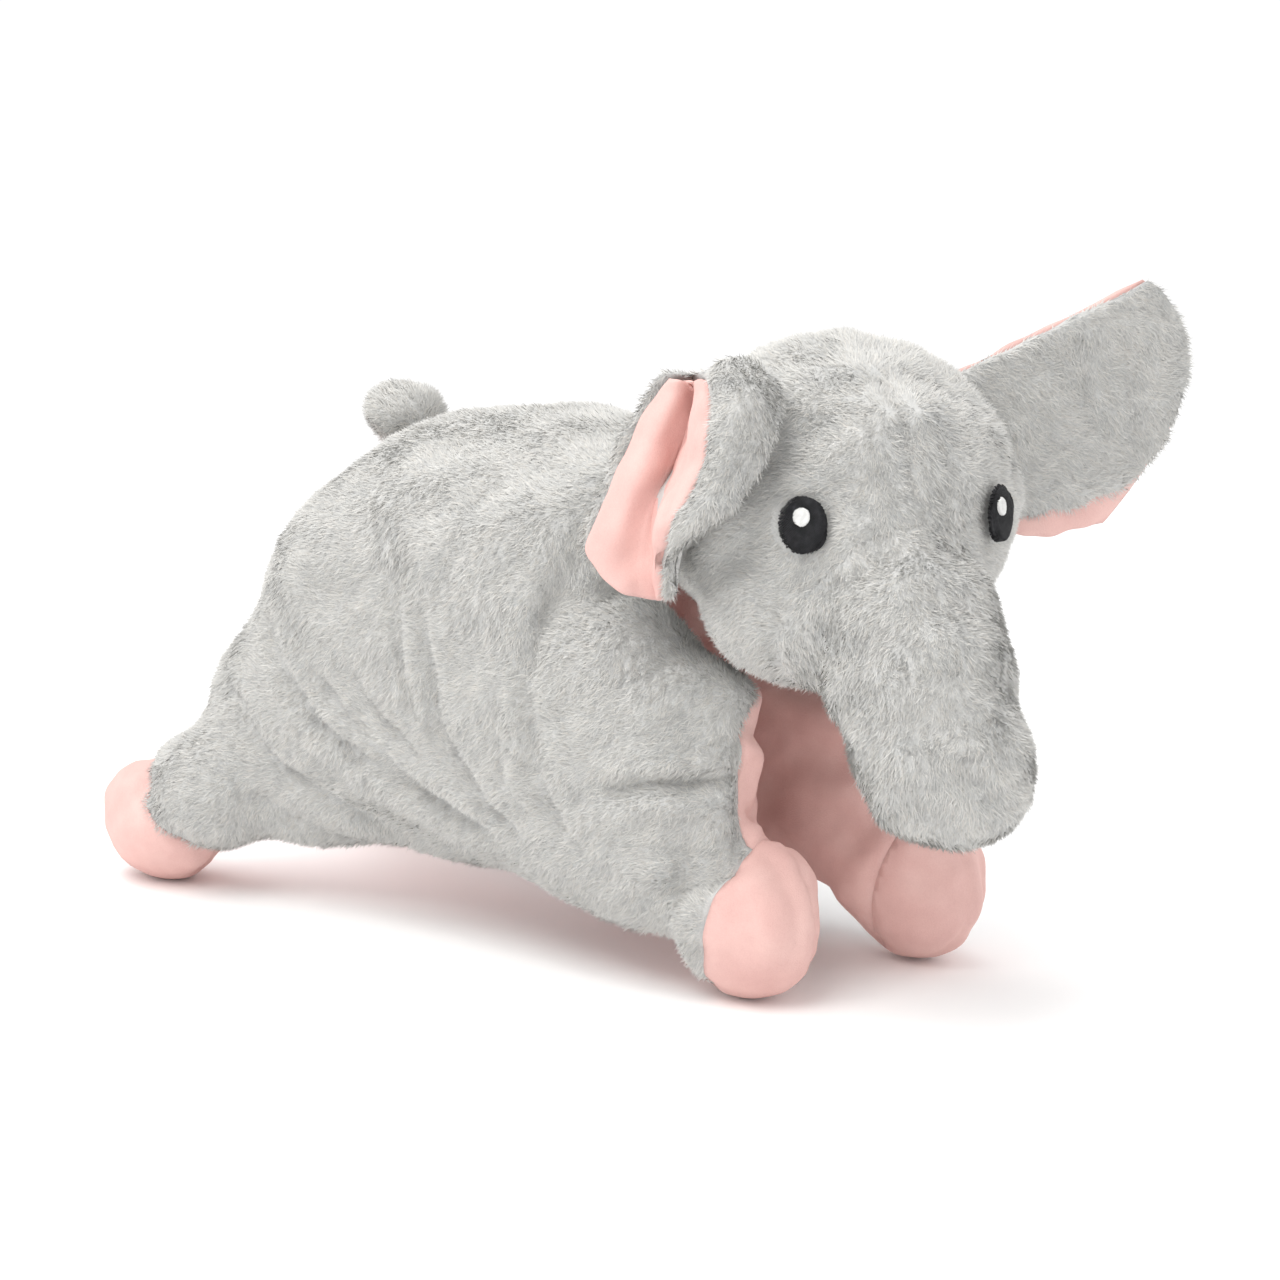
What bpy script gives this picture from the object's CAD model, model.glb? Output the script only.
import math

import bpy
import numpy as np
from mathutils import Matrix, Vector


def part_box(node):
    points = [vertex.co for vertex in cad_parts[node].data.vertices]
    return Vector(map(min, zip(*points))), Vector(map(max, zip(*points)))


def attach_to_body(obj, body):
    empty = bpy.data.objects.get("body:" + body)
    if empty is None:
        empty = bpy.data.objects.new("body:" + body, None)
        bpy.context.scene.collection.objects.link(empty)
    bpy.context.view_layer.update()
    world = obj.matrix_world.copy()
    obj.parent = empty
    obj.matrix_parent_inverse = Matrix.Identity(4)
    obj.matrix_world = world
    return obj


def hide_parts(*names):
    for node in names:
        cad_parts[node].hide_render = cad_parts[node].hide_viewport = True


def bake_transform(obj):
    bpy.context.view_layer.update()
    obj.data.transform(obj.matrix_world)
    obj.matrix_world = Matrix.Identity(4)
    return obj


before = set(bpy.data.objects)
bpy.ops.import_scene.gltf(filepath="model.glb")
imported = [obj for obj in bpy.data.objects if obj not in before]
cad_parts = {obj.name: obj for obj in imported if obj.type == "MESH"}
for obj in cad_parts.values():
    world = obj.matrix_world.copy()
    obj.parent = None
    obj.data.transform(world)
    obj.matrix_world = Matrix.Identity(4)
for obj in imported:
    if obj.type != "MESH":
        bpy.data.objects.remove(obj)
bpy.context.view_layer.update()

# Lengths are in millimetres in the toy's own frame: +Z up, head towards -Y, and x = 0 in the
# middle of the body. SHIFT brings that frame over the row frame, and MM turns it into metres.
MM = 0.001
SHIFT = np.array([-15.783, 43.089, 0.0])

# ---- the folded padding ----
BACK_TOP, FOLD_RADIUS, HALF_THICKNESS = 254.0, 53.0, 35.0
SPINE_FRONT, SPINE_REAR, SHOULDER_FRONT = -150.0, 76.0, -108.0
LEG_FRONT, LEG_REAR = -186.0, 214.0
FORWARD = {-1: 0.0, 1: -22.0}      # the left front leg stands a little further forward
SHOULDER_RISE = {-1: (140.0, 174.0), 1: (114.0, 148.0)}
EDGE = {"front": (60.0, 9.0), "middle": (38.0, 18.0), "rear": (74.0, 12.0)}
BEND_LENGTH = FOLD_RADIUS * math.pi / 2
BEND_CENTRE = BACK_TOP - FOLD_RADIUS - HALF_THICKNESS
FOLD_LENGTH = BEND_LENGTH + BEND_CENTRE - EDGE["middle"][1]
# Each foot: centre, radii, and the sloping seam plane that parts it from its leg.
FEET = {
    "front": ((47, -172, 36), (34, 43, 43), (0, -0.965, -0.262), 154.0),
    "rear": ((78, 180, 29), (34, 45, 35), (0, 0.69, -0.724), 80.0),
}
# Stuffing that fills each leg behind its foot: centre and radii.
LEGS = {
    "front": ((49, -136, 60), (34, 46, 46)),
    "rear": ((72, 146, 50), (33, 46, 38)),
}
# Stuffing that fills the right shoulder up to the head: centre and radii.
SHOULDER = ((-51, -113, 139), (34, 32, 37))

# ---- the head ----
HEAD_CENTRE = np.array([5.0, -178.0, 217.0])
HEAD_RADII = np.array([82.0, 82.0, 76.0])
HEAD_YAW = math.radians(-29)
TRUNK_PATH = np.array([
    [0, -45, -14], [0, -69, -40], [0, -87, -66], [2, -106, -95], [6, -136, -118]], float)
TRUNK_RADII = (33.0, 42.5, 42.5, 39.0, 36.5)
EYE_SIDE, EYE_RISE, EYE_WIDTH, EYE_HEIGHT = 46.0, 1.0, 8.4, 12.2
TAIL_PIVOT, TAIL_RADII, TAIL_LEAN, TAIL_REACH = (0, 73, 226), (25, 14, 19), -40, 12

# Where a half's cloth starts to turn with it, and where it turns fully: sideways and up.
# Under the head the plush wraps round the padding's front edge, this far towards the tunnel.
WRAP_DEPTH, WRAP_HEIGHTS = 20.0, (118.0, 150.0)
START_INSET = 4.0                  # the padding starts smaller, and the cloth swells out
SWELL_CAP = 5.0


def smooth(value, low, high):
    share = np.clip((value - low) / (high - low), 0, 1)
    return share * share * (3 - 2 * share)


def mix(a, b, share):
    return a + (b - a) * share


def unit(vectors):
    return vectors / np.maximum(np.linalg.norm(vectors, axis=-1, keepdims=True), 1e-9)


def waves(seed, shortest, longest, count=14):
    """A smooth random value of a place, about -1.5 to 1.5, from a sum of plane waves."""
    rng = np.random.default_rng(seed)
    numbers = unit(rng.normal(size=(count, 3))) * (
        2 * math.pi / rng.uniform(shortest, longest, (count, 1)))
    phase = rng.uniform(0, 2 * math.pi, count)

    def value(points):
        total = np.zeros(len(points))
        for number, start in zip(numbers, phase):
            total += np.sin(points @ number + start)
        return total / math.sqrt(count / 2)

    return value


def turned(points):
    """Points of the head's own frame, in the toy's frame."""
    points = np.asarray(points, float)
    c, s = math.cos(HEAD_YAW), math.sin(HEAD_YAW)
    x, y = points[..., 0] * c - points[..., 1] * s, points[..., 0] * s + points[..., 1] * c
    return np.stack([x, y, points[..., 2]], -1) + HEAD_CENTRE


def unturned(points):
    """Toy points in the head's own frame."""
    p = np.asarray(points, float) - HEAD_CENTRE
    c, s = math.cos(HEAD_YAW), math.sin(HEAD_YAW)
    return np.stack([p[..., 0] * c + p[..., 1] * s, p[..., 1] * c - p[..., 0] * s, p[..., 2]], -1)


# ---- meshes ----
def new_object(name, points, faces, materials=(), face_material=None, normals=None):
    """A mesh object from toy points and an array of faces that all have as many corners."""
    faces = np.asarray(faces, np.int32)
    count, corners = faces.shape
    data = bpy.data.meshes.new(name)
    data.vertices.add(len(points))
    data.vertices.foreach_set("co", ((points + SHIFT) * MM).astype(np.float32).ravel())
    data.loops.add(count * corners)
    data.loops.foreach_set("vertex_index", faces.ravel())
    data.polygons.add(count)
    data.polygons.foreach_set("loop_start", np.arange(0, count * corners, corners, dtype=np.int32))
    for material in materials:
        data.materials.append(material)
    if face_material is not None:
        data.polygons.foreach_set("material_index", face_material.astype(np.int32))
    data.update(calc_edges=True)
    data.polygons.foreach_set("use_smooth", np.ones(count, bool))
    if normals is not None:
        data.normals_split_custom_set_from_vertices(normals.astype(np.float32))
    made = bpy.data.objects.new(name, data)
    bpy.context.scene.collection.objects.link(made)
    return made


def read_points(data):
    flat = np.zeros(len(data.vertices) * 3, np.float32)
    data.vertices.foreach_get("co", flat)
    return flat.reshape(-1, 3).astype(float) / MM - SHIFT


def read_quads(data):
    flat = np.zeros(len(data.loops), np.int32)
    data.loops.foreach_get("vertex_index", flat)
    return flat.reshape(-1, 4)


def as_result(made):
    """Replaces an object's mesh with what its modifiers make of it."""
    graph = bpy.context.evaluated_depsgraph_get()
    data = bpy.data.meshes.new_from_object(made.evaluated_get(graph))
    made.modifiers.clear()
    made.data = data
    return made


def grid_faces(rows, columns, flip=False):
    first = (np.arange(rows - 1)[:, None] * columns + np.arange(columns - 1)).ravel()
    quad = np.stack([first, first + 1, first + columns + 1, first + columns], 1)
    return quad[:, ::-1] if flip else quad


def triangles_of(quads):
    return np.concatenate([quads[:, [0, 1, 2]], quads[:, [0, 2, 3]]])


def vertex_normals(points, faces):
    corner = points[faces]
    if faces.shape[1] == 4:
        area = np.cross(corner[:, 2] - corner[:, 0], corner[:, 3] - corner[:, 1])
    else:
        area = np.cross(corner[:, 1] - corner[:, 0], corner[:, 2] - corner[:, 0])
    total = np.zeros_like(points)
    for i in range(faces.shape[1]):
        for axis in range(3):
            total[:, axis] += np.bincount(faces[:, i], area[:, axis], len(points))
    return unit(total)


def relaxed(points, faces, share, rounds):
    """Evens out the points by their share, each towards the middle of its neighbours."""
    for _ in range(rounds):
        total, number = np.zeros_like(points), np.zeros(len(points))
        for i in range(4):
            following = points[faces[:, (i + 1) % 4]]
            for axis in range(3):
                total[:, axis] += np.bincount(faces[:, i], following[:, axis], len(points))
            number += np.bincount(faces[:, i], minlength=len(points))
        points = points + share[:, None] * (total / number[:, None] - points)
    return points


def part_of(points, normals, faces, mask):
    """The chosen faces with only their own points."""
    used, flat = np.unique(faces[mask], return_inverse=True)
    return points[used], normals[used], flat.reshape(-1, faces.shape[1])


def shell(points, normals, faces, thickness):
    """A closed shell of cloth: the faces, their copy pushed inwards, and walls at the borders."""
    count = len(points)
    edges = np.concatenate([faces[:, [i, (i + 1) % 4]] for i in range(4)])
    key = np.sort(edges, 1)
    _, place_in, number = np.unique(key, axis=0, return_inverse=True, return_counts=True)
    border = edges[number[place_in.ravel()] == 1]
    wall = np.stack([border[:, 1], border[:, 0], border[:, 0] + count, border[:, 1] + count], 1)
    both = np.concatenate([points, points - normals * thickness])
    return both, np.concatenate([faces, faces[:, ::-1] + count, wall])


def ellipsoid(centre, radii, around=32, down=20):
    angle, fall = np.meshgrid(
        np.linspace(0, 2 * math.pi, around + 1), np.linspace(0, math.pi, down + 1))
    ball = np.stack([np.sin(fall) * np.cos(angle), np.sin(fall) * np.sin(angle), np.cos(fall)], -1)
    return (ball * radii + centre).reshape(-1, 3), grid_faces(down + 1, around + 1, True)


def together(*pieces):
    points, faces, behind = [], [], 0
    for some, polygons in pieces:
        points.append(some)
        faces.append(polygons + behind)
        behind += len(some)
    return np.concatenate(points), np.concatenate(faces)


def remeshed(name, points, faces, voxel):
    """One closed skin around everything, with the doubled points of the grids merged."""
    made = new_object(name, points, faces)
    weld = made.modifiers.new("Weld", "WELD")
    weld.merge_threshold = 0.00005
    remesh = made.modifiers.new("Remesh", "REMESH")
    remesh.mode = "VOXEL"
    remesh.voxel_size = voxel * MM
    return as_result(made)


def swollen(made, cap, pressure=4.0, frames=20):
    """Blows the cloth up, then lets no point move further than the cap."""
    scene = bpy.context.scene
    start = read_points(made.data)
    cloth = made.modifiers.new("Cloth", "CLOTH")
    cloth.settings.use_pressure = True
    cloth.settings.uniform_pressure_force = pressure
    cloth.settings.effector_weights.gravity = 0
    for number in range(1, frames + 1):
        scene.frame_set(number)
    graph = bpy.context.evaluated_depsgraph_get()
    move = read_points(made.evaluated_get(graph).data) - start
    made.modifiers.clear()
    scene.frame_set(1)
    far = np.linalg.norm(move, axis=1, keepdims=True)
    end = start + move * np.minimum(1, cap / np.maximum(far, 1e-9))
    made.data.vertices.foreach_set("co", ((end + SHIFT) * MM).astype(np.float32).ravel())
    made.data.update()
    return made


def subdivided(made):
    """The points and faces of a mesh after one subdivision; the object itself goes."""
    level = made.modifiers.new("Subdivision", "SUBSURF")
    level.levels = 1
    as_result(made)
    points, faces = read_points(made.data), read_quads(made.data)
    bpy.data.objects.remove(made)
    return points, faces


# ---- materials ----
def material(name, colour, roughness=0.95, sheen=0.0, sheen_tint=None):
    made = bpy.data.materials.new(name)
    made.use_nodes = True
    shader = made.node_tree.nodes["Principled BSDF"]
    shader.inputs["Base Color"].default_value = (*colour, 1)
    shader.inputs["Roughness"].default_value = roughness
    shader.inputs["Specular IOR Level"].default_value = 0.25
    shader.inputs["Sheen Weight"].default_value = sheen
    shader.inputs["Sheen Roughness"].default_value = 0.5
    if sheen_tint:
        shader.inputs["Sheen Tint"].default_value = (*sheen_tint, 1)
    return made


def node(tree, kind, **values):
    made = tree.nodes.new(kind)
    for key, value in values.items():
        if hasattr(made, key):
            setattr(made, key, value)
        else:
            made.inputs[key.replace("_", " ")].default_value = value
    return made


def cloth_material(name, colours, roughness, sheen, coarse, fine, bump, stretch=(1, 1, 1)):
    """Cloth whose colour drifts in soft patches, with a fine nap that roughens and bumps it."""
    made = material(name, colours[1], roughness, sheen, colours[-1])
    tree = made.node_tree
    shader = tree.nodes["Principled BSDF"]
    where = node(tree, "ShaderNodeTexCoord")
    scaled = node(tree, "ShaderNodeMapping", Scale=stretch)
    tree.links.new(where.outputs["Object"], scaled.inputs["Vector"])
    patches = node(tree, "ShaderNodeTexNoise", Scale=coarse, Detail=3.0, Roughness=0.55)
    nap = node(tree, "ShaderNodeTexNoise", Scale=fine, Detail=2.0, Roughness=0.6)
    for texture in (patches, nap):
        tree.links.new(scaled.outputs["Vector"], texture.inputs["Vector"])
    both = node(tree, "ShaderNodeMix", data_type="FLOAT")
    both.inputs[0].default_value = 0.35
    tree.links.new(patches.outputs["Fac"], both.inputs[2])
    tree.links.new(nap.outputs["Fac"], both.inputs[3])
    ramp = node(tree, "ShaderNodeValToRGB")
    stops = np.linspace(0.34, 0.66, len(colours))
    while len(ramp.color_ramp.elements) < len(colours):
        ramp.color_ramp.elements.new(0.5)
    for stop, at, colour in zip(ramp.color_ramp.elements, stops, colours):
        stop.position = at
        stop.color = (*colour, 1)
    tree.links.new(both.outputs[0], ramp.inputs["Fac"])
    tree.links.new(ramp.outputs["Color"], shader.inputs["Base Color"])
    rough = node(tree, "ShaderNodeMapRange")
    rough.inputs["To Min"].default_value = roughness - 0.12
    rough.inputs["To Max"].default_value = min(1.0, roughness + 0.05)
    tree.links.new(nap.outputs["Fac"], rough.inputs["Value"])
    tree.links.new(rough.outputs["Result"], shader.inputs["Roughness"])
    raised = node(tree, "ShaderNodeBump", Strength=bump, Distance=0.0006)
    tree.links.new(nap.outputs["Fac"], raised.inputs["Height"])
    tree.links.new(raised.outputs["Normal"], shader.inputs["Normal"])
    return made


PLUSH = cloth_material("plush_ground", [(0.45, 0.455, 0.45), (0.53, 0.53, 0.52), (0.60, 0.595, 0.58)],
                       0.95, 0.2, 60, 900, 0.8)
VELOUR = cloth_material("pink_velour", [(0.655, 0.40, 0.37), (0.705, 0.45, 0.415), (0.75, 0.50, 0.46)],
                        0.85, 0.45, 45, 1500, 0.35)
BLACK = cloth_material("black_thread", [(0.004, 0.004, 0.005), (0.012, 0.012, 0.014), (0.03, 0.03, 0.034)],
                       0.5, 0.1, 300, 2500, 0.5)
WHITE = cloth_material("white_thread", [(0.62, 0.62, 0.61), (0.76, 0.76, 0.75), (0.85, 0.85, 0.84)],
                       0.5, 0.1, 300, 2500, 0.4)
PINK_THREAD = cloth_material("pink_thread", [(0.62, 0.30, 0.28), (0.72, 0.38, 0.35), (0.80, 0.46, 0.43)],
                             0.6, 0.2, 300, 2500, 0.4)
TAPE = cloth_material("grey_tape", [(0.30, 0.31, 0.32), (0.40, 0.41, 0.41), (0.52, 0.52, 0.51)],
                      0.9, 0.1, 200, 1800, 0.7)
# The pile's strands, dark to light. Each tint is one plain colour set on its shader, because
# the strands are far thinner than any pattern on them; the mottling comes from mixing tints.
TINTS = [
    material("pile_slate", (0.47, 0.47, 0.465), 0.9, 0.2),
    material("pile_grey", (0.55, 0.548, 0.532), 0.9, 0.25),
    material("pile_silver", (0.61, 0.604, 0.582), 0.9, 0.3),
    material("pile_beige", (0.64, 0.617, 0.578), 0.9, 0.3),
    material("pile_pale", (0.69, 0.68, 0.652), 0.9, 0.3),
]


# ---- pile ----
PILE_CHUNK = 150000                # strands in one piece at most


def pile(name, points, normals, quads, comb, attach, density=2.7, length=5.6, width=0.58,
         lean=(42, 70), seed=1, keep=None):
    """Tapered strands of pile standing on a skin, laid along a combing direction.
    comb gives a direction for each place, keep says which roots stay, and attach ties each
    finished piece to its bodies just as its skin is tied."""
    rng = np.random.default_rng(seed)
    faces = triangles_of(quads)
    corner = points[faces]
    slant = np.cross(corner[:, 1] - corner[:, 0], corner[:, 2] - corner[:, 0])
    area = np.linalg.norm(slant, axis=1) / 2
    number = int(area.sum() * density)
    chosen = rng.choice(len(faces), number, p=area / area.sum())
    a, b = rng.random((2, number))
    over = a + b > 1
    a[over], b[over] = 1 - a[over], 1 - b[over]
    share = np.stack([1 - a - b, a, b], 1)[..., None]
    root = (points[faces[chosen]] * share).sum(1)
    normal = unit((normals[faces[chosen]] * share).sum(1))
    if keep is not None:
        stay = keep(root)
        root, normal = root[stay], normal[stay]
    number = len(root)
    clump, swirl = waves(seed + 11, 9, 24)(root), waves(seed + 12, 16, 45)(root)
    streak = waves(seed + 13, 3.5, 8)(root)
    flow = comb(root)
    flow = unit(flow - normal * (flow * normal).sum(1, keepdims=True))
    across = np.cross(normal, flow)
    angle = (0.42 * swirl + 0.22 * streak + rng.normal(0, 0.36, number))[:, None]
    flow = flow * np.cos(angle) + across * np.sin(angle)
    across = np.cross(normal, flow)
    under = rng.random(number) < 0.3
    lying = np.clip(0.5 + 0.13 * clump + 0.24 * rng.normal(size=number), 0, 1)
    tilt = np.radians(mix(lean[0], lean[1], lying))
    size = length * np.clip(0.82 + 0.06 * clump + 0.16 * rng.normal(size=number), 0.45, 1.25)
    size = np.where(under, size * 0.62, size)
    up = normal * np.cos(tilt)[:, None] + flow * np.sin(tilt)[:, None]
    twist = rng.normal(0, 0.45, number)[:, None]
    broad = across * np.cos(twist) + np.cross(up, across) * np.sin(twist)
    half = (width / 2 * rng.uniform(0.75, 1.3, number))[:, None] * broad
    foot = root - normal * 0.9
    tip = foot + up * size[:, None]
    middle = unit(normal * 0.75 + np.cross(across, up) * -0.25 + rng.normal(0, 0.08, (number, 3)))
    level = 0.2 * clump + 0.26 * streak + 0.8 * rng.normal(size=number) - 0.8 * under
    tint = np.digitize(level, [-1.35, -0.45, 0.35, 0.75])
    order = np.argsort(root[:, 1], kind="stable")
    made = []
    for part, rows in enumerate(np.array_split(order, max(1, math.ceil(number / PILE_CHUNK)))):
        count = len(rows)
        corners = np.stack([foot[rows] - half[rows], foot[rows] + half[rows], tip[rows]], 1)
        facing = np.cross(corners[:, 1] - corners[:, 0], corners[:, 2] - corners[:, 0])
        wrong = (facing * normal[rows]).sum(1) < 0
        corners[wrong] = corners[wrong][:, [1, 0, 2]]
        piece = new_object(
            f"{name}_{part + 1}", corners.reshape(-1, 3), np.arange(3 * count).reshape(-1, 3),
            TINTS, tint[rows], np.repeat(middle[rows], 3, 0))
        attach(piece)
        made.append(piece)
    return made


# ---- the padding's shape ----
def bottom_edge(across):
    share = smooth(np.abs(across), 0.08, 0.75)
    front = across < 0
    x = mix(EDGE["middle"][0], np.where(front, EDGE["front"][0], EDGE["rear"][0]), share)
    z = mix(EDGE["middle"][1], np.where(front, EDGE["front"][1], EDGE["rear"][1]), share)
    return x, z


def middle_of_padding(along, across):
    angle = np.minimum(along, BEND_LENGTH) / FOLD_RADIUS
    down = np.maximum(0, (along - BEND_LENGTH) / (FOLD_LENGTH - BEND_LENGTH))
    edge_x, edge_z = bottom_edge(across)
    drift = edge_x - FOLD_RADIUS
    slope = 2 * drift * down / (FOLD_LENGTH - BEND_LENGTH)
    size = np.hypot(1, slope)
    straight = along > BEND_LENGTH
    x = np.where(straight, FOLD_RADIUS + drift * down ** 2, FOLD_RADIUS * np.sin(angle))
    z = np.where(straight, mix(BEND_CENTRE, edge_z, down), BEND_CENTRE + FOLD_RADIUS * np.cos(angle))
    out_x = np.where(straight, 1 / size, np.sin(angle))
    out_z = np.where(straight, slope / size, np.cos(angle))
    return x, z, out_x, out_z


def ends_at(z, side):
    """Where the front and rear edge seams run at a height, on the side -1 or 1."""
    leg = np.where(side > 0, 1 - smooth(z, *SHOULDER_RISE[1]), 1 - smooth(z, *SHOULDER_RISE[-1]))
    front = mix(SHOULDER_FRONT, LEG_FRONT + np.where(side > 0, FORWARD[1], FORWARD[-1]), leg)
    top = BACK_TOP - HALF_THICKNESS
    down = np.maximum(0, top - z) / (top - EDGE["middle"][1])
    return front, mix(SPINE_REAR, LEG_REAR, down ** 0.72)


def padding_grid(face, inset, rows=60, columns=90):
    """Toy points on the padding from the left bottom edge over the spine to the right one."""
    u = np.linspace(-1, 1, 2 * rows + 1)
    signed = FOLD_LENGTH * np.sin(np.pi * u / 2)
    across, signed = np.meshgrid(-np.cos(np.pi * np.linspace(0, 1, columns + 1)), signed)
    side = np.where(signed < 0, -1.0, 1.0)
    last = FOLD_LENGTH - 2 * inset
    run = np.minimum(np.abs(signed), last)
    x, z, out_x, out_z = middle_of_padding(run, across)
    front, rear = ends_at(middle_of_padding(run, 0 * across)[1], side)
    front = mix(SPINE_FRONT, front, smooth(run, 10, 46))
    y = mix(front + 2 * inset, rear - 2 * inset, (across + 1) / 2)
    edge = np.maximum(0, 1 - (run / last) ** 5) ** 0.5
    end = np.maximum(0, 1 - np.abs(across) ** np.where(across > 0, 3, 5)) ** 0.5
    reach = face * (HALF_THICKNESS - inset) * edge * end
    points = np.stack([side * (x + out_x * reach), y, z + out_z * reach], -1)
    return points.reshape(-1, 3), grid_faces(2 * rows + 1, columns + 1, face > 0)


def across_of(points):
    """How far each place is between its front and rear edge seams, -1 to 1."""
    front, rear = ends_at(points[:, 2], np.sign(points[:, 0]))
    return np.clip(2 * (points[:, 1] - front) / (rear - front) - 1, -1, 1)


def beyond_middle(points):
    """How far each place is outside the padding's middle: below 0 is in the tunnel."""
    x, z = np.abs(points[:, 0]), points[:, 2]
    edge_x, edge_z = bottom_edge(across_of(points))
    down = np.clip((BEND_CENTRE - z) / (BEND_CENTRE - edge_z), 0, 1)
    wall = x - (FOLD_RADIUS + (edge_x - FOLD_RADIUS) * down ** 2)
    return np.where(z > BEND_CENTRE, np.hypot(x, z - BEND_CENTRE) - FOLD_RADIUS, wall)


def beyond_seam(points):
    """How far each place is on the plush side of the seam between plush and velour. Under the
    head the plush wraps round the front edge of the padding."""
    wrap = smooth(points[:, 2], *WRAP_HEIGHTS) * smooth(-across_of(points), 0.45, 0.8)
    return beyond_middle(points) + WRAP_DEPTH * wrap


def beyond_foot(points, end, side):
    """How far each place is beyond a foot's seam plane."""
    normal, cut = np.array(FEET[end][2]), FEET[end][3]
    normal = normal / np.linalg.norm(normal)
    shifted = points - [0, FORWARD[side] if end == "front" else 0, 0]
    return shifted @ normal - cut, normal


def out_of_head(points, gap):
    """Pushes places that are inside the head back to its surface."""
    local = unturned(points)
    radii = HEAD_RADII + gap
    size = np.linalg.norm(local / radii, axis=1, keepdims=True)
    return turned(local / np.minimum(1, np.maximum(size, 1e-6)))


def head_depth(points):
    return np.linalg.norm(unturned(points) / HEAD_RADII, axis=1)


def distance_to_line(points, line):
    """From each place to a line of straight stretches, and the share of the line gone by."""
    line = np.asarray(line, float)
    nearest = np.full(len(points), 1e9)
    gone = np.zeros(len(points))
    lengths = np.linalg.norm(np.diff(line, axis=0), axis=1)
    passed = 0.0
    for a, b, length in zip(line[:-1], line[1:], lengths):
        t = np.clip(((points - a) @ (b - a)) / length ** 2, 0, 1)
        far = np.linalg.norm(points - (a + t[:, None] * (b - a)), axis=1)
        closer = far < nearest
        nearest[closer] = far[closer]
        gone[closer] = (passed + t[closer] * length) / lengths.sum()
        passed += length
    return nearest, gone


def crease(points, line, width, depth, taper=0.18):
    """How far a crease along a line sinks the cloth, with the cloth risen a little beside it."""
    far, gone = distance_to_line(points, line)
    ends = smooth(gone, 0, taper) * (1 - smooth(gone, 1 - taper, 1))
    rise = 0.38 * np.exp(-((far - 2.4 * width) / (1.4 * width)) ** 2)
    return depth * ends * (rise - np.exp(-(far / width) ** 2))


# Creases in the side, by their length along the body and height, with width and depth.
SIDE_CREASES = [
    ([(100, 157), (91, 136), (77, 117), (58, 99), (33, 85), (5, 74), (-25, 64), (-63, 55)], 4.5, 5.0),
    ([(134, 109), (114, 102), (101, 87), (86, 74), (63, 61), (28, 44)], 4.0, 4.0),
    ([(70, 130), (53, 117), (36, 102), (19, 89), (1, 78), (-18, 66)], 4.0, 4.0),
    ([(39, 129), (25, 110), (8, 99), (-8, 85)], 4.0, 3.2),
    ([(-15, 169), (-15, 152), (-16, 136), (-19, 106), (-29, 91), (-45, 74), (-74, 57)], 4.5, 4.6),
    ([(-39, 233), (-35, 218), (-36, 198), (-31, 183), (-21, 166)], 6.0, 3.0),
    ([(-90, 202), (-84, 173), (-78, 150), (-77, 128), (-80, 96), (-90, 73), (-116, 50)], 5.5, 4.2),
    ([(-108, 92), (-125, 94), (-145, 99), (-178, 100), (-216, 105)], 4.0, 5.5),
    ([(5, 182), (3, 155), (2, 127), (-7, 100)], 4.5, 3.2),
    ([(-120, 40), (-147, 47), (-169, 58), (-201, 81)], 4.5, 3.6),
    ([(112, 60), (88, 44), (60, 34), (30, 30)], 4.5, 3.0),
    ([(-60, 140), (-56, 110), (-62, 86), (-80, 66)], 4.5, 2.6),
]


def make_body():
    """The folded padding and its feet as one swollen form: its points, faces and normals."""
    forms = [padding_grid(1, START_INSET), padding_grid(-1, START_INSET)]
    for end, (centre, radii, *_) in FEET.items():
        for side in (-1, 1):
            forward = FORWARD[side] if end == "front" else 0
            middle = np.array([side * centre[0], centre[1] + forward, centre[2]], float)
            forms.append(ellipsoid(middle, np.array(radii, float) - START_INSET))
            middle = np.array(LEGS[end][0], float) * [side, 1, 1] + [0, forward, 0]
            forms.append(ellipsoid(middle, np.array(LEGS[end][1], float) - START_INSET))
    forms.append(ellipsoid(np.array(SHOULDER[0], float), np.array(SHOULDER[1], float)))
    points, faces = together(*forms)
    points = out_of_head(points, 5.0)
    made = swollen(remeshed("body_form", points, faces, 5.0), SWELL_CAP)
    points, faces = subdivided(made)
    points = out_of_head(points, 3.0)
    points[:, 2] = np.maximum(points[:, 2], 0.3)
    return points, faces


def body_regions(points, faces):
    """Which piece each face of the body belongs to."""
    middle = points[faces].mean(1)
    outside = beyond_seam(middle) > 0
    left = middle[:, 0] > 0
    region = np.where(outside, 0, 1) + 2 * left
    code = 4
    names = {0: "right_side", 1: "right_belly", 2: "left_side", 3: "left_belly"}
    for side, word in ((-1, "right"), (1, "left")):
        for end in FEET:
            far, _ = beyond_foot(middle, end, side)
            here = (far > 0) & (left == (side > 0)) & ((middle[:, 1] < 0) == (end == "front"))
            region[here & (middle[:, 2] < 110)] = code
            names[code] = f"{word}_{end}_foot"
            code += 1
    return region, names


def snap_seams(points, faces, region):
    """Slides the points on the borders of the pieces onto the seams themselves."""
    low = np.full(len(points), 99)
    high = np.full(len(points), -1)
    for i in range(4):
        np.minimum.at(low, faces[:, i], region)
        np.maximum.at(high, faces[:, i], region)
    border = low != high
    both_sides = border & (low // 2 != high // 2) & (high < 4)
    points[both_sides, 0] = 0
    edge = border & (high < 4) & ~both_sides
    far = np.clip(beyond_seam(points[edge]), -4, 4)
    side = np.sign(points[edge, 0])
    wall = points[edge, 2] <= BEND_CENTRE
    points[edge, 0] -= np.where(wall, far * side, 0)
    seams = border & (high >= 4)
    for side in (-1, 1):
        for end in FEET:
            here = seams & (np.sign(points[:, 0]) == side) & ((points[:, 1] < 0) == (end == "front"))
            far, normal = beyond_foot(points[here], end, side)
            points[here] -= np.clip(far, -3, 3)[:, None] * normal
    return points


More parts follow.
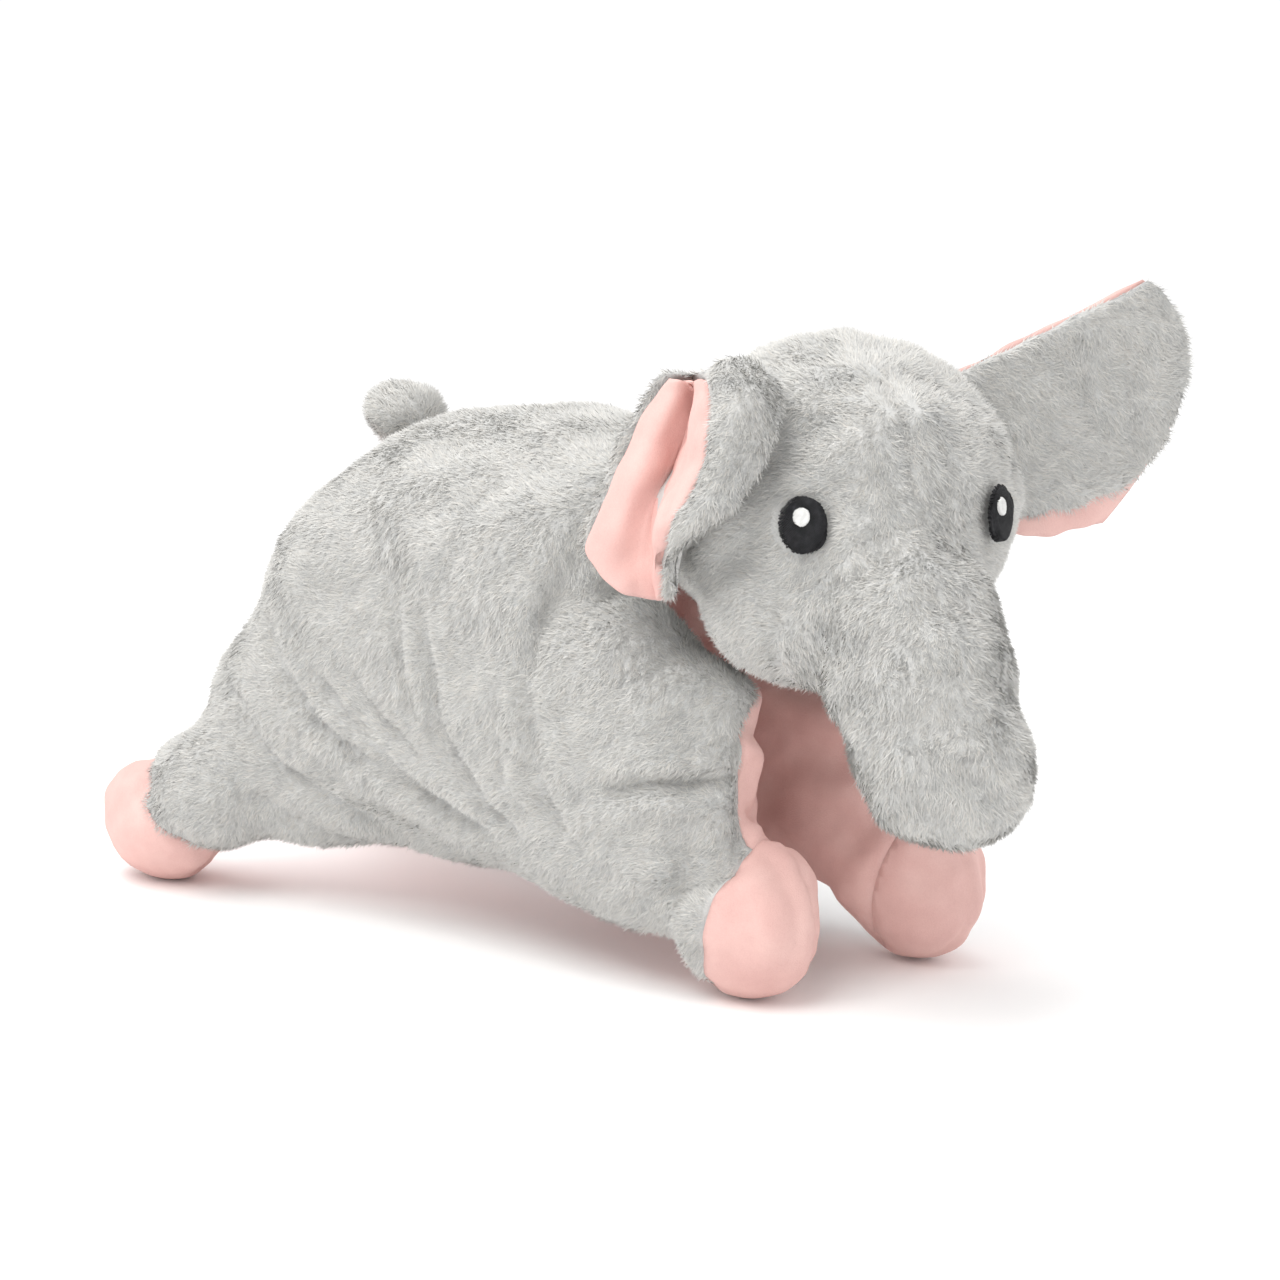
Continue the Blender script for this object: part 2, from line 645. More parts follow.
def body_detail(points, faces):
    """Creases, seams, bunching and lumps, as moves along the normals."""
    normals = vertex_normals(points, faces)
    outside = beyond_seam(points)
    outer = smooth(outside, 2, 14)
    move = 1.2 * waves(3, 30, 80)(points) + 0.2 * waves(4, 9, 18)(points)
    profile = points[:, 1:]
    right = points[:, 0] < 0
    for line, width, depth in SIDE_CREASES:
        line = np.array(line, float)
        move += np.where(right, crease(profile, line, width, depth), 0) * outer
        other = line + [4 + 6 * math.sin(line[0][0]), 5 * math.cos(line[0][1])]
        move += np.where(right, 0, crease(profile, other, width * 1.1, depth * 0.85)) * outer
    # The seam between plush and velour is pulled in, with small gathers across it.
    seam = np.exp(-(outside / 6) ** 2) * (points[:, 2] < 200)
    gathers = np.sin(points[:, 1] / 4.1 + 1.3 * waves(6, 30, 60)(points))
    move -= seam * (2.6 + 0.7 * gathers)
    for side in (-1, 1):
        for end in FEET:
            here = (np.sign(points[:, 0]) == side) & ((points[:, 1] < 0) == (end == "front"))
            here &= points[:, 2] < 110
            far, _ = beyond_foot(points, end, side)
            ring = np.exp(-(far / 4.5) ** 2) * here
            turn = np.arctan2(points[:, 2] - 36, np.abs(points[:, 0]) - FEET[end][0][0])
            move -= ring * (1.7 + 0.6 * np.sin(9 * turn + side))
            # A dart runs from the seam over the toe, and small puckers sit along it.
            x = np.abs(points[:, 0]) - FEET[end][0][0]
            dart = np.exp(-((x + 5) / 2.6) ** 2) * smooth(far, 4, 22) * here
            pucker = np.exp(-((x + 5) / 9) ** 2) * np.sin(points[:, 2] / 2.9 + side)
            move -= dart * 1.6 + smooth(far, 8, 24) * here * pucker * 0.55
    # The tunnel's lining bunches into ridges along the spine, and softly down its walls.
    inside = 1 - smooth(outside, -26, -10)
    turn = np.arctan2(points[:, 0], np.maximum(points[:, 2] - BEND_CENTRE, 1))
    ridge = np.sin(turn * 7 + 1.2 * waves(8, 40, 90)(points)) * smooth(points[:, 2], 150, 175)
    walls = waves(9, 16, 40)(points * [1, 0.45, 1]) * (1 - smooth(points[:, 2], 150, 180))
    move += inside * (1.6 * ridge + 1.1 * walls)
    # Behind the front legs the edge of the lining is crumpled.
    edge = np.exp(-((outside + 8) / 9) ** 2) * smooth(-across_of(points), 0.45, 0.85)
    edge *= smooth(points[:, 2], 55, 80) * (1 - smooth(points[:, 2], 135, 160))
    move += edge * (1.5 + 3.0 * np.sin(points[:, 2] / 5.2 + 1.6 * waves(12, 20, 50)(points)))
    sole = smooth(points[:, 2], 0.5, 10)
    points = points + normals * (move * sole)[:, None]
    points = out_of_head(points, 2.2)
    points[:, 2] = np.maximum(points[:, 2], 0.3)
    return points


def add_skin(name, points, normals, faces, cloth, nodes, attach, thickness=1.8):
    both, closed = shell(points, normals, faces, thickness)
    piece = new_object(name, both, closed, [cloth])
    attach(piece)
    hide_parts(*nodes)
    return piece


def follow():
    """Ties a piece to the back along the spine, and to a half further out and down. Plush and
    velour share it, so the seams between them stay closed as a half folds out."""

    def attach(piece):
        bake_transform(piece)

    return attach


def riding(body):
    return lambda piece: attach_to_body(piece, body)


def body_comb(root):
    flow = np.tile([0.0, 0.75, -0.55], (len(root), 1))
    flow[:, 0] = 0.25 * np.sign(root[:, 0])
    return flow


def add_body():
    points, faces = make_body()
    region, names = body_regions(points, faces)
    points = snap_seams(points, faces, region)
    points = body_detail(points, faces)
    normals = vertex_normals(points, faces)
    for code, name in names.items():
        half = "right" if name.startswith("right") else "left"
        own, lean, own_faces = part_of(points, normals, faces, region == code)
        if name.endswith("side"):
            nodes = [f"{half}_side_cover", f"{half}_stuffing"]
            if half == "right":
                nodes += ["spine_back_cover", "spine_stuffing"]
            attach = follow()
            add_skin(f"{name}_plush", own, lean, own_faces, PLUSH, nodes, attach)
            pile(f"{name}_pile", own, lean, own_faces, body_comb, attach, seed=20 + code,
                 keep=lambda root: head_depth(root) > 1.045)
        elif name.endswith("belly"):
            nodes = [f"{half}_belly_cover"] + (["spine_belly_cover"] if half == "right" else [])
            add_skin(f"{name}_velour", own, lean, own_faces, VELOUR, nodes,
                     follow())
        else:
            add_skin(f"{name}_velour", own, lean, own_faces, VELOUR, [name],
                     riding(f"{half}_half"))


# ---- head and trunk ----
def spline(path, count):
    """Points along a smooth curve through the path's points."""
    ends = np.concatenate([[2 * path[0] - path[1]], path, [2 * path[-1] - path[-2]]])
    made = []
    for u in np.linspace(0, len(path) - 1, count):
        i = min(int(u), len(path) - 2)
        t = u - i
        a, b, c, d = ends[i:i + 4]
        made.append(0.5 * (2 * b + (c - a) * t + (2 * a - 5 * b + 4 * c - d) * t ** 2
                           + (3 * b - a - 3 * c + d) * t ** 3))
    return np.array(made)


TRUNK_LINE = spline(TRUNK_PATH, 25)


def trunk_radius(share):
    return np.interp(share, np.linspace(0, 1, len(TRUNK_RADII)), TRUNK_RADII)


def trunk_form(inset, around=32):
    """A tube around the trunk's middle line with a round end, in the head's frame."""
    count = len(TRUNK_LINE)
    tangent = unit(np.gradient(TRUNK_LINE, axis=0))
    side = np.array([1.0, 0, 0])
    rows = []
    for i, (centre, along) in enumerate(zip(TRUNK_LINE, tangent)):
        share = i / (count - 1)
        round_off = 1 if share < 0.8 else math.sqrt(max(0, 1 - ((share - 0.8) / 0.2) ** 2))
        start = min(1.0, share / 0.02 + 0.001)
        radius = (trunk_radius(share) - inset) * round_off * start
        angle = np.linspace(0, 2 * math.pi, around + 1)[:, None]
        rows.append(centre + radius * (np.cos(angle) * side + np.sin(angle) * np.cross(along, side)))
    return np.concatenate(rows), grid_faces(count, around + 1, True)


def beyond_face(local):
    """Above 0 on the trunk and below 0 on the head: their seam is where it is 0."""
    far, gone = distance_to_line(local, TRUNK_LINE)
    outside = (np.linalg.norm(local / HEAD_RADII, axis=1) - 1) * HEAD_RADII[0]
    return outside - (far - trunk_radius(gone))


FACE_CREASES = [   # in the head's frame: lines, width and depth
    ([(-22, -112, -72), (-20, -100, -95), (-14, -92, -118), (-6, -92, -138)], 4.0, 2.6),
    ([(0, -40, 66), (0, -64, 42), (0, -76, 22), (0, -82, 6)], 4.0, 1.2),
    ([(-34, -84, -38), (-30, -100, -48), (-14, -116, -56), (6, -118, -56)], 5.0, 1.8),
]


def eye_place(root, grow):
    """True where a place on the face is under either eye."""
    local = unturned(root)
    across = (np.abs(local[:, 0]) - EYE_SIDE) / (EYE_WIDTH * grow)
    rise = (local[:, 2] - EYE_RISE) / (EYE_HEIGHT * grow)
    return (across ** 2 + rise ** 2 < 1) & (local[:, 1] < 0)


def head_comb(root):
    """The pile runs back from the face and down the cheeks."""
    local = unturned(root)
    flow = np.stack([0.9 * local[:, 0] / 82, 0.75 + 0 * local[:, 0], -0.6 - 0.2 * local[:, 2] / 76], 1)
    return turned(flow) - HEAD_CENTRE


def trunk_comb(root):
    """The pile runs down the trunk."""
    local = unturned(root)
    flow = np.stack([0.15 * np.sign(local[:, 0]), -0.4 + 0 * local[:, 1], -0.9 + 0 * local[:, 1]], 1)
    return turned(flow) - HEAD_CENTRE


def trunk_attach(piece):
    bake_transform(piece)


def add_head():
    forms = [ellipsoid(np.zeros(3), HEAD_RADII - 3.0, 48, 32), trunk_form(3.0),
             ellipsoid(np.array([-16.0, -26, -34]), np.array([60.0, 56, 48]) - 3, 40, 28)]
    points, faces = together(*forms)
    made = swollen(remeshed("head_form", turned(points), faces, 4.5), 4.0)
    points, faces = subdivided(made)
    # The trunk runs smoothly into the face.
    near = np.exp(-(beyond_face(unturned(points)) / 16) ** 2)
    points = relaxed(points, faces, 0.9 * near, 90)
    normals = vertex_normals(points, faces)
    local = unturned(points)
    seam = beyond_face(local)
    move = 0.9 * waves(31, 24, 60)(points) + 0.3 * waves(32, 8, 16)(points)
    move -= 1.0 * np.exp(-(seam / 5) ** 2)
    for line, width, depth in FACE_CREASES:
        move += crease(local, line, width, depth)
    sunk = ((np.abs(local[:, 0]) - EYE_SIDE) / (1.5 * EYE_WIDTH)) ** 2
    sunk += ((local[:, 2] - EYE_RISE) / (1.5 * EYE_HEIGHT)) ** 2
    move -= 1.8 * np.exp(-sunk) * (local[:, 1] < 0)
    points = points + normals * move[:, None]
    normals = vertex_normals(points, faces)
    trunk = beyond_face(unturned(points[faces].mean(1))) > 0
    own, lean, own_faces = part_of(points, normals, faces, ~trunk)
    add_skin("head_plush", own, lean, own_faces, PLUSH,
             ["head_cover", "head_stuffing"], riding("head"))
    pile("head_pile", own, lean, own_faces, head_comb, riding("head"), seed=41,
         keep=lambda root: ~eye_place(root, 1.0))
    own, lean, own_faces = part_of(points, normals, faces, trunk)
    add_skin("trunk_plush", own, lean, own_faces, PLUSH,
             ["trunk_cover", "trunk_stuffing"], trunk_attach)
    pile("trunk_pile", own, lean, own_faces, trunk_comb, trunk_attach, seed=42)


# ---- stitched eyes ----
def threads(lines, radius, sides=6):
    """Round threads along lines that all have as many points, open rings closed to a point."""
    points, faces, behind = [], [], 0
    angle = np.linspace(0, 2 * math.pi, sides + 1)[:-1]
    for line in lines:
        count = len(line)
        tangent = unit(np.gradient(line, axis=0))
        side = unit(np.cross(tangent, [0.31, 0.17, 0.94]))
        up = np.cross(tangent, side)
        size = radius * np.sqrt(np.clip(np.sin(math.pi * np.linspace(0.02, 0.98, count)) * 6, 0.04, 1))
        ring = line[:, None] + size[:, None, None] * (
            np.cos(angle)[:, None] * side[:, None] + np.sin(angle)[:, None] * up[:, None])
        points.append(ring.reshape(-1, 3))
        first = (np.arange(count - 1)[:, None] * sides + np.arange(sides)).ravel()
        following = (np.arange(count - 1)[:, None] * sides + (np.arange(sides) + 1) % sides).ravel()
        faces.append(np.stack([first, following, following + sides, first + sides], 1) + behind)
        behind += count * sides
    return np.concatenate(points), np.concatenate(faces)


def on_face(x, z, lift):
    """A place over the head's surface, given where it is seen from in front."""
    radii = HEAD_RADII + lift[..., None] if np.ndim(lift) else HEAD_RADII + lift
    depth = np.sqrt(np.maximum(0, 1 - (x / radii[..., 0]) ** 2 - (z / radii[..., 2]) ** 2))
    return turned(np.stack([x, -radii[..., 1] * depth, z], -1))


def satin_patch(x, z, width, height, low, pitch, slope, seed):
    """Parallel threads that fill an ellipse, each sewn down at both ends."""
    rng = np.random.default_rng(seed)
    c, s = math.cos(slope), math.sin(slope)
    lines = []
    count = int(2 * height / pitch)
    for i in range(count):
        v = (i + 0.5) / count * 2 - 1
        half = math.sqrt(1 - v * v) * (1 + rng.uniform(-0.02, 0.07))
        u = np.linspace(-half, half, 9)
        a = (u * c - v * s) * width
        b = (u * s + v * c) * height
        crown = low + 1.1 * np.sqrt(np.clip(1 - (u / half) ** 4, 0, 1))
        crown = crown - 1.5 * (np.abs(u / half) > 0.98)
        lines.append(on_face(x + a, z + b, crown))
    return threads(lines, pitch * 0.62)


def add_eyes():
    for name, side in (("right", -1), ("left", 1)):
        x = side * EYE_SIDE
        black = satin_patch(x, EYE_RISE, EYE_WIDTH, EYE_HEIGHT, 0.9, 0.62, 0.5 * side, 51)
        under = satin_patch(x, EYE_RISE, EYE_WIDTH * 0.97, EYE_HEIGHT * 0.97, 0.2, 0.8,
                            0.5 * side + 1.4, 52)
        eye = new_object(f"{name}_eye_stitches", *together(black, under), [BLACK])
        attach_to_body(eye, "head")
        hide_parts(f"{name}_eye")
        white = satin_patch(x - 2, EYE_RISE + 4, 3.0, 3.9, 2.2, 0.55, 0.5 * side, 53)
        glint = new_object(f"{name}_eye_glint_stitches", *white, [WHITE])
        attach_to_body(glint, "head")
        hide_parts(f"{name}_eye_glint")


# ---- ears ----
def left_ear_middle(rows, columns, curl=0.0):
    """The left ear's cupped middle surface, and the direction of its thickness.
    A layer with some curl comes forward under the lower edge."""
    v, u = np.meshgrid(np.linspace(0, 1, rows), np.linspace(0, 1, columns), indexing="ij")
    angle = np.radians(mix(2, 24, u))
    reach = 116 * np.sin(math.pi * mix(0.17, 0.7, u)) ** 0.75 * v
    cup = 16 * v * v * (1 - u)
    grid = np.stack([mix(66, 50, u) + reach * np.cos(angle), -14 + cup - 10 * v * u,
                     mix(-12, 54, u) + reach * np.sin(angle)], -1)
    low = (curl * (1 - u) ** 4 * smooth(v, 0, 0.35))[..., None]
    return grid - low * [0, 0.55, 1], np.broadcast_to([0.0, 1.0, 0.0], grid.shape)


def left_lining_middle(rows, columns):
    return left_ear_middle(rows, columns, 9.0)


# The right ear is folded like a shell. At each height its layers run from the front, round the
# cavity's bottom, to the rear lip: (x, y) in the head's frame.
RIGHT_EAR_HEIGHTS = (-36, -19, 1, 20, 40, 52, 59)
RIGHT_EAR_LINING = (
    ((-90, -22), (-91, -22), (-91, -20), (-90, -14), (-98, -12), (-108, -10), (-115, -2)),
    ((-94, -26), (-94, -25), (-94, -22), (-92, -14), (-98, -10), (-109, -8), (-118, 1)),
    ((-93, -44), (-97, -45), (-98, -35), (-89, -11), (-94, -9), (-104, -9), (-110, 3)),
    ((-84, -49), (-88, -51), (-88, -38), (-79, -7), (-85, -8), (-96, -10), (-102, 3)),
    ((-78, -51), (-83, -53), (-83, -40), (-71, -7), (-76, -8), (-87, -11), (-93, 1)),
    ((-77, -47), (-81, -48), (-81, -38), (-73, -14), (-76, -14), (-83, -16), (-87, -6)),
    ((-77, -38), (-79, -37), (-80, -32), (-81, -28), (-82, -24), (-84, -19), (-85, -13)),
)
RIGHT_EAR_FUR = (
    ((-88, -26), (-89, -26), (-89, -24), (-87, -8), (-95, -4), (-105, 0), (-114, 5)),
    ((-90, -34), (-91, -34), (-91, -30), (-89, -8), (-94, -2), (-105, 2), (-117, 8)),
    ((-80, -56), (-89, -59), (-94, -52), (-89, -4), (-94, -2), (-102, 3), (-110, 10)),
    ((-66, -64), (-78, -66), (-86, -57), (-77, -1), (-83, 0), (-92, 3), (-102, 10)),
    ((-55, -61), (-71, -66), (-81, -59), (-69, -1), (-74, 0), (-84, 2), (-93, 9)),
    ((-50, -50), (-68, -60), (-79, -54), (-70, -8), (-74, -6), (-80, -3), (-87, 3)),
    ((-52, -38), (-68, -47), (-78, -45), (-78, -26), (-80, -20), (-82, -13), (-85, -6)),
)


def right_ear_middle(sections, rise, crown):
    def middle(rows, columns):
        keys = np.zeros((len(sections), len(sections[0]), 3))
        keys[..., :2] = sections
        keys[..., 2] = np.array(RIGHT_EAR_HEIGHTS, float)[:, None] + rise
        tall = spline(keys.reshape(len(keys), -1), rows).reshape(rows, -1, 3)
        grid = spline(tall.transpose(1, 0, 2).reshape(tall.shape[1], -1), columns)
        grid = grid.reshape(columns, rows, 3).transpose(1, 0, 2)
        v, u = np.meshgrid(np.linspace(0, 1, rows), np.linspace(-1, 1, columns), indexing="ij")
        grid[..., 2] += 15 * (1 - v) ** 6 * np.abs(u) ** 2.6      # the lobe is round below
        grid[..., 2] += crown * v ** 4 * np.exp(-((u + 0.6) / 0.4) ** 2)
        along = np.gradient(grid, axis=1)
        sideways = np.stack([-along[..., 1], along[..., 0], 0 * along[..., 0]], -1)
        return grid, unit(sideways)

    return middle


def closing_wall(rows, columns):
    """The faces that close two grids of points round their rim."""
    at = np.arange(rows * columns).reshape(rows, columns)
    rim = np.concatenate([at[0, :-1], at[:-1, -1], at[-1, :0:-1], at[:0:-1, 0]])
    following, behind = np.roll(rim, -1), rows * columns
    return np.stack([rim, rim + behind, following + behind, following], 1)


def inside_out(points, faces):
    """True if the faces of a closed form look inwards."""
    corner = (points - points.mean(0))[faces]
    volume = (corner[:, 0] * np.cross(corner[:, 1], corner[:, 2])).sum()
    volume += (corner[:, 0] * np.cross(corner[:, 2], corner[:, 3])).sum()
    return volume < 0


def join_layers(layers, rows, columns):
    """Closes two layers into one form, with its faces looking outwards."""
    points = np.concatenate(layers)
    faces = np.concatenate([grid_faces(rows, columns), grid_faces(rows, columns, True) + rows * columns,
                            closing_wall(rows, columns)])
    return points, faces[:, ::-1] if inside_out(points, faces) else faces


def ear_layer(middle, near, far, rows=64, columns=96):
    """One layer of an ear as a closed pad that thins to a seam along its rim.
    Gives its points, all its faces, and the faces of its near side, far side and rim."""
    grid, through = middle(rows, columns)
    v, u = np.meshgrid(np.linspace(0, 1, rows), np.linspace(0, 1, columns), indexing="ij")
    edge = np.sqrt(np.clip(1 - v ** 12, 0, 1) * np.clip(1 - np.abs(2 * u - 1) ** 18, 0, 1))
    edge = np.maximum(edge, 0.15)[..., None]
    centre, half = (near + far) / 2, (near - far) / 2
    points = np.concatenate([
        turned((grid + through * (centre + half * edge * way)).reshape(-1, 3)) for way in (1, -1)])
    first = grid_faces(rows, columns)
    second = grid_faces(rows, columns, True) + rows * columns
    wall = closing_wall(rows, columns)
    if inside_out(points, np.concatenate([first, second, wall])):
        first, second, wall = first[:, ::-1], second[:, ::-1], wall[:, ::-1]
    return points, np.concatenate([first, second, wall]), (first, second, wall)


def add_ear_layer(name, body, node_name, layer, cloth, seed):
    points, faces, sides = layer
    normals = vertex_normals(points, faces)
    points = points + normals * (0.5 * waves(seed, 12, 34)(points))[:, None]
    skin = new_object(name, points, faces, [cloth])
    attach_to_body(skin, body)
    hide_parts(node_name)
    return points, vertex_normals(points, faces), sides


def add_ears():
    def left_comb(root):
        return turned(np.tile([0.8, 0.1, -0.6], (len(root), 1))) - HEAD_CENTRE

    def right_comb(root):
        return turned(np.tile([-0.5, 0.3, -0.8], (len(root), 1))) - HEAD_CENTRE

    def clear_of_head(root):
        return head_depth(root) > 0.97

    layer = ear_layer(left_ear_middle, 0, 5)
    points, normals, (near, far, rim) = add_ear_layer(
        "left_ear_plush", "left_ear", "left_ear_fur", layer, PLUSH, 61)
    pile("left_ear_pile", points, normals, np.concatenate([near, rim]), left_comb,
         riding("left_ear"), seed=61, keep=clear_of_head)
    layer = ear_layer(left_lining_middle, 5.3, 9.3)
    add_ear_layer("left_ear_velour", "left_ear", "left_ear_lining", layer, VELOUR, 62)

    columns = 96
    layer = ear_layer(right_ear_middle(RIGHT_EAR_FUR, 2, 10), 2.5, -2.5, columns=columns)
    points, normals, (near, far, rim) = add_ear_layer(
        "right_ear_plush", "right_ear", "right_ear_fur", layer, PLUSH, 64)
    # The pile is on the outside: the front layer's near side, and the rear layer's far side.
    front = near[near.min(1) % columns < columns * 0.34]
    rear = far[far.min(1) % columns > columns * 0.5]
    lip = near[near.min(1) % columns > columns * 0.9]
    pile("right_ear_pile", points, normals, np.concatenate([front, rear, lip, rim]), right_comb,
         riding("right_ear"), seed=64, keep=clear_of_head)
    layer = ear_layer(right_ear_middle(RIGHT_EAR_LINING, 0, 2), 2.2, -2.0)
    add_ear_layer("right_ear_velour", "right_ear", "right_ear_lining", layer, VELOUR, 65)


# ---- tail ----
def add_tail():
    points, faces = ellipsoid(np.array([0, 0, TAIL_REACH], float), np.array(TAIL_RADII) - 2.0, 48, 32)
    c, s = math.cos(math.radians(TAIL_LEAN)), math.sin(math.radians(TAIL_LEAN))
    y, z = points[:, 1].copy(), points[:, 2].copy()
    points[:, 1], points[:, 2] = y * c - z * s, y * s + z * c
    points += TAIL_PIVOT
    made = remeshed("tail_form", points, faces, 2.5)
    points, faces = read_points(made.data), read_quads(made.data)
    bpy.data.objects.remove(made)
    normals = vertex_normals(points, faces)
    points = points + normals * (0.6 * waves(71, 12, 30)(points))[:, None]
    normals = vertex_normals(points, faces)
    skin = new_object("tail_plush", points, faces, [PLUSH])
    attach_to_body(skin, "tail")
    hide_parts("tail_cover", "tail_stuffing")

    def comb(root):
        return np.tile([0.0, 0.6, 0.3], (len(root), 1))

    pile("tail_pile", points, normals, faces, comb, riding("tail"), seed=72, length=6.5)


# ---- strap ----
def rounded_band(path, half_width, thickness, middle_y, cells=26):
    """A band of cloth along a line in the XZ plane, with soft hemmed edges."""
    path = np.asarray(path, float)
    tangent = unit(np.gradient(path, axis=0))
    normal = np.stack([-tangent[:, 1], tangent[:, 0]], 1)
    w = np.linspace(-1, 1, cells)
    sewn = 1 - 0.22 * np.exp(-((np.abs(w) - 0.8) / 0.05) ** 2)
    thin = np.sqrt(np.clip(1 - np.abs(w) ** 12, 0, 1)) * sewn
    rows = []
    for face in (1, -1):
        lift = face * thickness / 2 * np.maximum(thin, 0.15)
        grid = np.zeros((len(path), cells, 3))
        grid[..., 0] = path[:, None, 0] + normal[:, None, 0] * lift
        grid[..., 2] = path[:, None, 1] + normal[:, None, 1] * lift
        grid[..., 1] = middle_y + w * half_width
        rows.append(grid.reshape(-1, 3))
    return join_layers(rows, len(path), cells)


def cad_box(name):
    low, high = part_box(name)
    return np.array(low) / MM - SHIFT, np.array(high) / MM - SHIFT


def stitch_row(points, gap=0.35, radius=0.32):
    """Dashes of thread between each pair of neighbouring points."""
    lines = []
    for a, b in zip(points[:-1], points[1:]):
        t = np.linspace(gap / 2, 1 - gap / 2, 5)[:, None]
        lines.append(a + (b - a) * t)
    return threads(lines, radius, 5)


def add_strap():
    low, high = cad_box("closure_strap")
    thick = 2.4
    top = high[2] - thick / 2
    bend = 5.0
    start_x, end_x, foot_z = low[0], high[0] - thick / 2, low[2]
    angle = np.linspace(0, math.pi / 2, 8)
    corner = np.stack([end_x - bend + bend * np.sin(angle), top - bend + bend * np.cos(angle)], 1)
    flat = np.stack([np.linspace(start_x, end_x - bend, 24)[:-1], np.full(23, top)], 1)
    sag = 1.2 * np.sin(np.linspace(0, math.pi, 23))
    flat[:, 1] -= sag
    drop = np.stack([np.full(14, end_x), np.linspace(top - bend, foot_z, 15)[1:]], 1)
    path = np.concatenate([flat, corner, drop])
    middle_y, half = (low[1] + high[1]) / 2, (high[1] - low[1]) / 2
    points, faces = rounded_band(path, half, thick, middle_y)
    points[:, 2] += 0.25 * waves(81, 10, 26)(points)
    strap = new_object("closure_strap_velour", points, faces, [VELOUR])
    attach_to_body(strap, "strap")
    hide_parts("closure_strap")
    # Stitching near both edges, on top and beneath.
    rows = []
    for w in (-0.8, 0.8):
        for face in (1, -1):
            tangent = unit(np.gradient(path, axis=0))
            lift = np.stack([-tangent[:, 1], tangent[:, 0]], 1) * face * thick * 0.46
            line = np.zeros((len(path), 3))
            line[:, [0, 2]] = path + lift
            line[:, 1] = middle_y + w * half
            rows.append(stitch_row(line))
    seam = new_object("closure_strap_stitches", *together(*rows), [PINK_THREAD])
    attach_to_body(seam, "strap")
    for name, body, hooked in (
            ("strap_hook_patch", "strap", True), ("strap_loop_patch", "left_half", False)):
        low, high = cad_box(name)
        size = high - low
        rng = np.random.default_rng(91)
        rim = np.array([[(low[0] + high[0]) / 2, y, z] for y, z in (
            (low[1], low[2]), (high[1], low[2]), (high[1], high[2]), (low[1], high[2]))])
        y, z = np.meshgrid(np.linspace(-1, 1, 40), np.linspace(-1, 1, 30))
        swell = np.sqrt(np.clip((1 - np.abs(y) ** 16) * (1 - np.abs(z) ** 16), 0, 1))
        knit = 0.08 * np.sin(y * 60) * np.sin(z * 50)
        layers = []
        for face in (1, -1):
            grid = np.zeros((*y.shape, 3))
            grid[..., 0] = rim[0, 0] + face * (size[0] * 0.42 * np.maximum(swell, 0.2) + knit)
            grid[..., 1] = (low[1] + high[1]) / 2 + y * size[1] / 2
            grid[..., 2] = (low[2] + high[2]) / 2 + z * size[2] / 2
            layers.append(grid.reshape(-1, 3))
        points, faces = join_layers(layers, *y.shape)
        # Hooks or loops stand on the side that meets the other patch.
        face = 1 if hooked else -1
        lines = []
        for i in range(22):
            for j in range(15):
                at_y = low[1] + (i + 1) / 23 * size[1] + rng.uniform(-0.2, 0.2)
                at_z = low[2] + (j + 1) / 16 * size[2] + rng.uniform(-0.2, 0.2)
                t = np.linspace(0, math.pi * (0.8 if hooked else 1), 6)
                base = rim[0, 0] + face * size[0] * 0.3
                lines.append(np.stack([base + face * 0.42 * np.sin(t), at_y + 0.35 * np.cos(t),
                                       at_z + 0 * t], 1))
        patch = new_object(name + "_tape", *together((points, faces), threads(lines, 0.1, 4)), [TAPE])
        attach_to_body(patch, body)
        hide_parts(name)


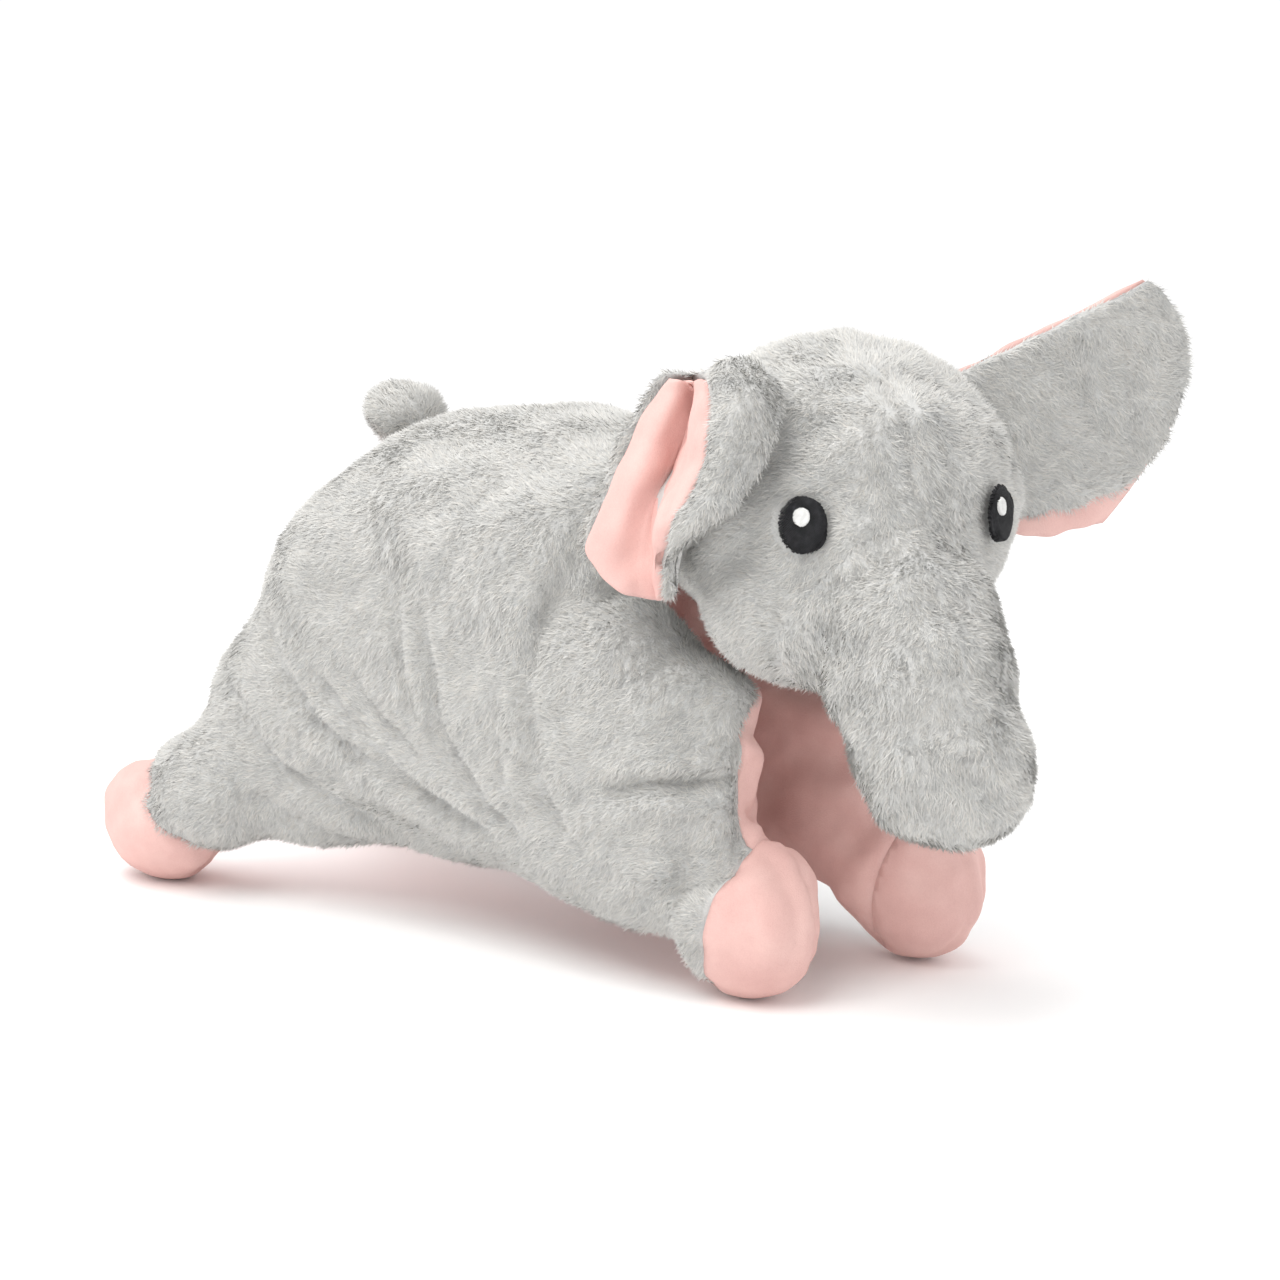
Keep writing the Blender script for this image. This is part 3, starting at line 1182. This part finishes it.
# ---- floor, light and camera, in metres, degrees and watts ----
FLOOR_HALF = 6.0
WORLD_STRENGTH = 1.06
LIGHTS = (   # name, place, size, power and colour
    ("key", (-0.9, -0.1, 1.5), 1.1, 14, (1.0, 0.985, 0.96)),
    ("top", (0.1, 0.5, 1.7), 1.4, 9, (1.0, 1.0, 1.0)),
)
LIT_PLACE = (0, 0, 0.12)
CAMERA_AZIMUTH, CAMERA_ELEVATION, CAMERA_DISTANCE = -50, 11, 1.6
CAMERA_TARGET = np.array([0.027217, 0.011089, 0.13])
SENSOR_WIDTH = 36                  # millimetres
CAMERA_ZOOM = 3309 / 1280          # the lens's focal length over the sensor's width


def add_stage():
    floor = bpy.data.meshes.new("floor")
    size = FLOOR_HALF
    corners = [(-size, -size, 0), (size, -size, 0), (size, size, 0), (-size, size, 0)]
    floor.from_pydata(corners, [], [(0, 1, 2, 3)])
    ground = bpy.data.objects.new("floor", floor)
    bpy.context.scene.collection.objects.link(ground)
    pale = material("pale_floor", (0.97, 0.97, 0.97), 0.9)
    floor.materials.append(pale)
    world = bpy.data.worlds.new("studio")
    world.use_nodes = True
    world.node_tree.nodes["Background"].inputs["Color"].default_value = (1, 1, 1, 1)
    world.node_tree.nodes["Background"].inputs["Strength"].default_value = WORLD_STRENGTH
    bpy.context.scene.world = world
    bpy.context.scene.view_settings.view_transform = "Standard"
    for name, at, size, power, colour in LIGHTS:
        data = bpy.data.lights.new(name, "AREA")
        data.size = size
        data.energy = power
        data.color = colour
        lamp = bpy.data.objects.new(name, data)
        lamp.location = at
        lamp.rotation_euler = facing(np.array(LIT_PLACE) - np.array(at))
        bpy.context.scene.collection.objects.link(lamp)


def facing(direction):
    """The turn that points a lamp or camera along a direction."""
    return Vector(direction).to_track_quat("-Z", "Y").to_euler()


def add_camera():
    azimuth, elevation = math.radians(CAMERA_AZIMUTH), math.radians(CAMERA_ELEVATION)
    level = math.cos(elevation)
    back = np.array([math.sin(azimuth) * level, -math.cos(azimuth) * level, math.sin(elevation)])
    data = bpy.data.cameras.new("camera")
    data.sensor_width = SENSOR_WIDTH
    data.lens = CAMERA_ZOOM * SENSOR_WIDTH
    camera = bpy.data.objects.new("camera", data)
    camera.location = CAMERA_TARGET + back * CAMERA_DISTANCE
    camera.rotation_euler = facing(-back)
    bpy.context.scene.collection.objects.link(camera)
    bpy.context.scene.camera = camera


add_camera()
add_stage()
add_body()
add_head()
add_eyes()
add_ears()
add_tail()
add_strap()
